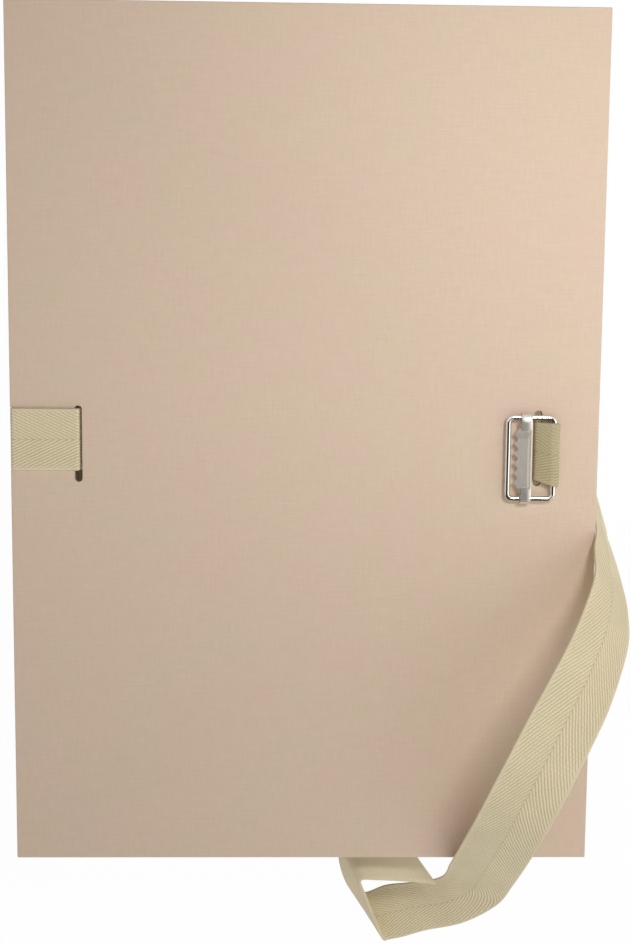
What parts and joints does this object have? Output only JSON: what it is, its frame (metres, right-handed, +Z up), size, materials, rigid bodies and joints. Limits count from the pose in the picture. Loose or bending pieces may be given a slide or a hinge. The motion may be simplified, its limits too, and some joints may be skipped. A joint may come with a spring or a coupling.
{
  "type": "expanding spine folder",
  "caption": "Document folder of two paper-covered boards joined by a pleated spine that expands, closed by a herringbone webbing strap through slots in the front cover and a claw buckle",
  "frame": {"origin": "under the middle of the covers, on the surface that the strap under the back cover rests on", "axes": "+X from the spine to the fore-edge, +Y from the bottom edge to the top edge, +Z up through the front cover"},
  "size_m": [0.2537, 0.3995, 0.0816],
  "materials": {
    "board": "grey bookbinding board",
    "cover_paper": "beige paper embossed like fine linen, matte",
    "lining_paper": "smooth cream paper, matte",
    "spine_card": "folded beige card, matte",
    "fold_cloth": "thin beige bookbinding cloth",
    "webbing": "cotton webbing in a herringbone weave",
    "thread": "cotton sewing thread",
    "buckle_metal": "nickel plated wire, polished",
    "bar_metal": "nickel plated sheet, satin"
  },
  "bodies": {
    "root": {"back_board": "board", "back_cover_paper": "cover_paper", "back_lining": "lining_paper", "back_fold_tape": "fold_cloth", "strap_back_run": "webbing", "strap_spine_run": "webbing", "strap_loose_end": "webbing"},
    "ridge_1": {"ridge_fold_tape_1": "fold_cloth"},
    "ridge_2": {"ridge_fold_tape_2": "fold_cloth"},
    "front_hinge": {"front_fold_tape": "fold_cloth", "strap_spine_bend": "webbing"},
    "front_cover": {"front_board": "board", "front_cover_paper": "cover_paper", "front_lining": "lining_paper", "strap_front_run": "webbing", "strap_inner_run": "webbing", "strap_buckle_loop": "webbing", "loop_stitches": "thread"},
    "buckle_frame": {"buckle_frame": "buckle_metal"},
    "buckle_bar": {"buckle_bar": "bar_metal"},
    "panel_1": {"spine_panel_1": "spine_card", "valley_fold_tape_1": "fold_cloth"},
    "panel_2": {"spine_panel_2": "spine_card"},
    "panel_3": {"spine_panel_3": "spine_card", "valley_fold_tape_2": "fold_cloth"},
    "panel_4": {"spine_panel_4": "spine_card"},
    "panel_5": {"spine_panel_5": "spine_card", "valley_fold_tape_3": "fold_cloth"},
    "panel_6": {"spine_panel_6": "spine_card"}
  },
  "joints": [
    {"name": "spine_expand", "type": "slide", "parent": "root", "child": "front_hinge", "axis": [0, 0, 1], "range_m": [0, 0.08275], "deforming": ["strap_spine_run", "strap_loose_end"]},
    {"name": "ridge_1_rise", "type": "slide", "parent": "root", "child": "ridge_1", "axis": [0, 0, 1], "range_m": [0, 0.02759]},
    {"name": "ridge_2_rise", "type": "slide", "parent": "root", "child": "ridge_2", "axis": [0, 0, 1], "range_m": [0, 0.05518]},
    {"name": "panel_1_turn", "type": "hinge", "parent": "root", "child": "panel_1", "pos_m": [-0.11735, 0, 0.0052], "axis": [0, -1, 0], "range_deg": [0, 42.05]},
    {"name": "panel_2_turn", "type": "hinge", "parent": "ridge_1", "child": "panel_2", "pos_m": [-0.11735, 0, 0.01132], "axis": [0, 1, 0], "range_deg": [0, 42.05]},
    {"name": "panel_3_turn", "type": "hinge", "parent": "ridge_1", "child": "panel_3", "pos_m": [-0.11735, 0, 0.01192], "axis": [0, -1, 0], "range_deg": [0, 42.05]},
    {"name": "panel_4_turn", "type": "hinge", "parent": "ridge_2", "child": "panel_4", "pos_m": [-0.11735, 0, 0.01805], "axis": [0, 1, 0], "range_deg": [0, 42.05]},
    {"name": "panel_5_turn", "type": "hinge", "parent": "ridge_2", "child": "panel_5", "pos_m": [-0.11735, 0, 0.01865], "axis": [0, -1, 0], "range_deg": [0, 42.05]},
    {"name": "panel_6_turn", "type": "hinge", "parent": "front_hinge", "child": "panel_6", "pos_m": [-0.11735, 0, 0.02477], "axis": [0, 1, 0], "range_deg": [0, 42.05]},
    {"name": "front_cover_open", "type": "hinge", "parent": "front_hinge", "child": "front_cover", "pos_m": [-0.12, 0, 0.02597], "axis": [0, -1, 0], "range_deg": [0, 180], "deforming": ["strap_spine_bend", "strap_spine_run", "strap_loose_end"]},
    {"name": "buckle_flip", "type": "hinge", "parent": "front_cover", "child": "buckle_frame", "pos_m": [0.1012, -0.0044, 0.03117], "axis": [0, 1, 0], "range_deg": [0, 165]},
    {"name": "bar_slide", "type": "slide", "parent": "buckle_frame", "child": "buckle_bar", "axis": [1, 0, 0], "range_m": [-0.0014, 0.0009]}
  ],
  "couplings": [
    {"joint": "ridge_1_rise", "follows": "spine_expand", "ratio": 0.33333},
    {"joint": "ridge_2_rise", "follows": "spine_expand", "ratio": 0.66667},
    {"joint": "panel_1_turn", "follows": "spine_expand", "rad_per_m": 8.8588},
    {"joint": "panel_2_turn", "follows": "spine_expand", "rad_per_m": 8.8588},
    {"joint": "panel_3_turn", "follows": "spine_expand", "rad_per_m": 8.8588},
    {"joint": "panel_4_turn", "follows": "spine_expand", "rad_per_m": 8.8588},
    {"joint": "panel_5_turn", "follows": "spine_expand", "rad_per_m": 8.8588},
    {"joint": "panel_6_turn", "follows": "spine_expand", "rad_per_m": 8.8588}
  ]
}
